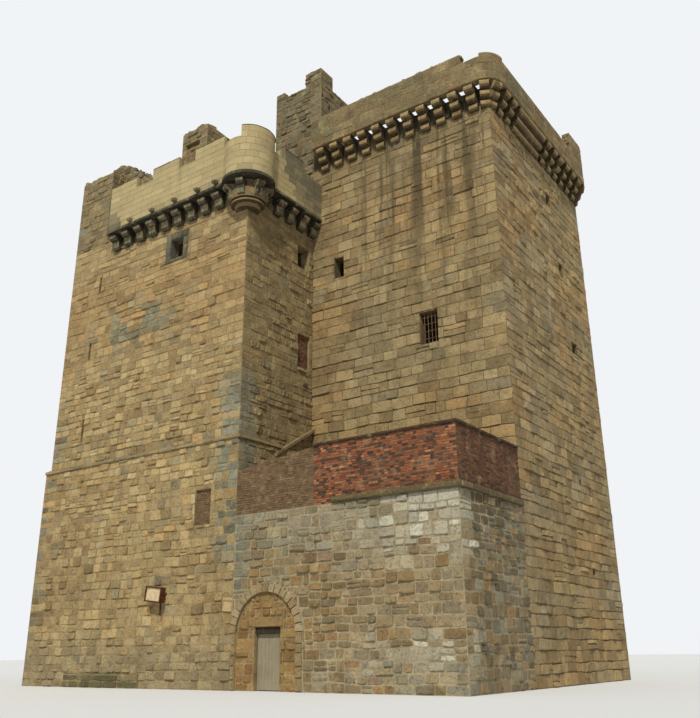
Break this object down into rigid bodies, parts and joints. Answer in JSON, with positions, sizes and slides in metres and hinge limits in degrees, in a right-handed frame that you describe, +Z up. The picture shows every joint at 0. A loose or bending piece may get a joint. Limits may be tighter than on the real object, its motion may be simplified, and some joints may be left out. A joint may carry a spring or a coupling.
{
  "type": "stone keep",
  "caption": "Tall two-block stone keep with corbelled parapets, round corner turret, ruined roof stubs and a low brick-topped porch with an arched doorway.",
  "frame": {"origin": "middle of the whole building's footprint, at ground level", "axes": "+X to the right along the fronts, +Y back through the building, +Z up"},
  "size_m": [19.404, 14.324, 25.57],
  "materials": {
    "hall_stone": "rough, weathered, golden to grey brown",
    "tower_stone": "squared, rough faced, golden tan",
    "parapet_stone": "smooth faced, pale cream",
    "corbel_stone": "rubbed, weathered",
    "grey_stone": "weathered, grey",
    "porch_stone": "rough, patched, pale grey to tan",
    "arch_stone": "dressed, weathered",
    "infill_stone": "rough",
    "red_brick": "matt, rough",
    "brown_brick": "matt, rough",
    "mossy_stone": "matt, mossy",
    "coping_stone": "matt, dark",
    "floor_stone": "matt, worn",
    "door_wood": "matt paint, pale grey, worn",
    "iron": "rusty"
  },
  "bodies": {
    "building": {"hall_front_wall": "hall_stone", "hall_left_wall": "hall_stone", "hall_rear_wall": "hall_stone", "hall_return_wall": "hall_stone", "hall_gable_stub": "hall_stone", "garret_stub": "hall_stone", "tower_front_wall": "tower_stone", "tower_right_wall": "tower_stone", "tower_rear_wall": "tower_stone", "party_wall": "tower_stone", "cap_house": "tower_stone", "hall_parapet": "parapet_stone", "hall_back_parapet": "parapet_stone", "hall_merlons": "parapet_stone", "hall_turret": "parapet_stone", "tower_parapet": "parapet_stone", "tower_merlons": "parapet_stone", "hall_corbels": "corbel_stone", "turret_corbels": "corbel_stone", "tower_corbels": "corbel_stone", "turret_foot": "corbel_stone", "hall_course": "grey_stone", "window_surround": "grey_stone", "hall_string_course": "grey_stone", "base_plinth": "grey_stone", "roof_raggle": "grey_stone", "porch_front_wall": "porch_stone", "porch_wall_over_door": "porch_stone", "porch_right_wall": "porch_stone", "door_arch": "arch_stone", "door_tympanum": "infill_stone", "door_jambs": "infill_stone", "red_brick_wall": "red_brick", "brown_brick_wall": "brown_brick", "window_blockings": "brown_brick", "porch_string_course": "mossy_stone", "porch_coping": "coping_stone", "hall_floors": "floor_stone", "tower_floors": "floor_stone", "porch_deck": "floor_stone", "door_lintel": "door_wood", "lamp_frame": "iron", "hinge_pins": "iron"},
    "door": {"door_leaf": "door_wood"}
  },
  "joints": [
    {"name": "door_hinge", "type": "hinge", "parent": "building", "child": "door", "pos_m": [1.918, -6.154, 0.8], "axis": [0, 0, 1], "range_deg": [0, 90]}
  ]
}
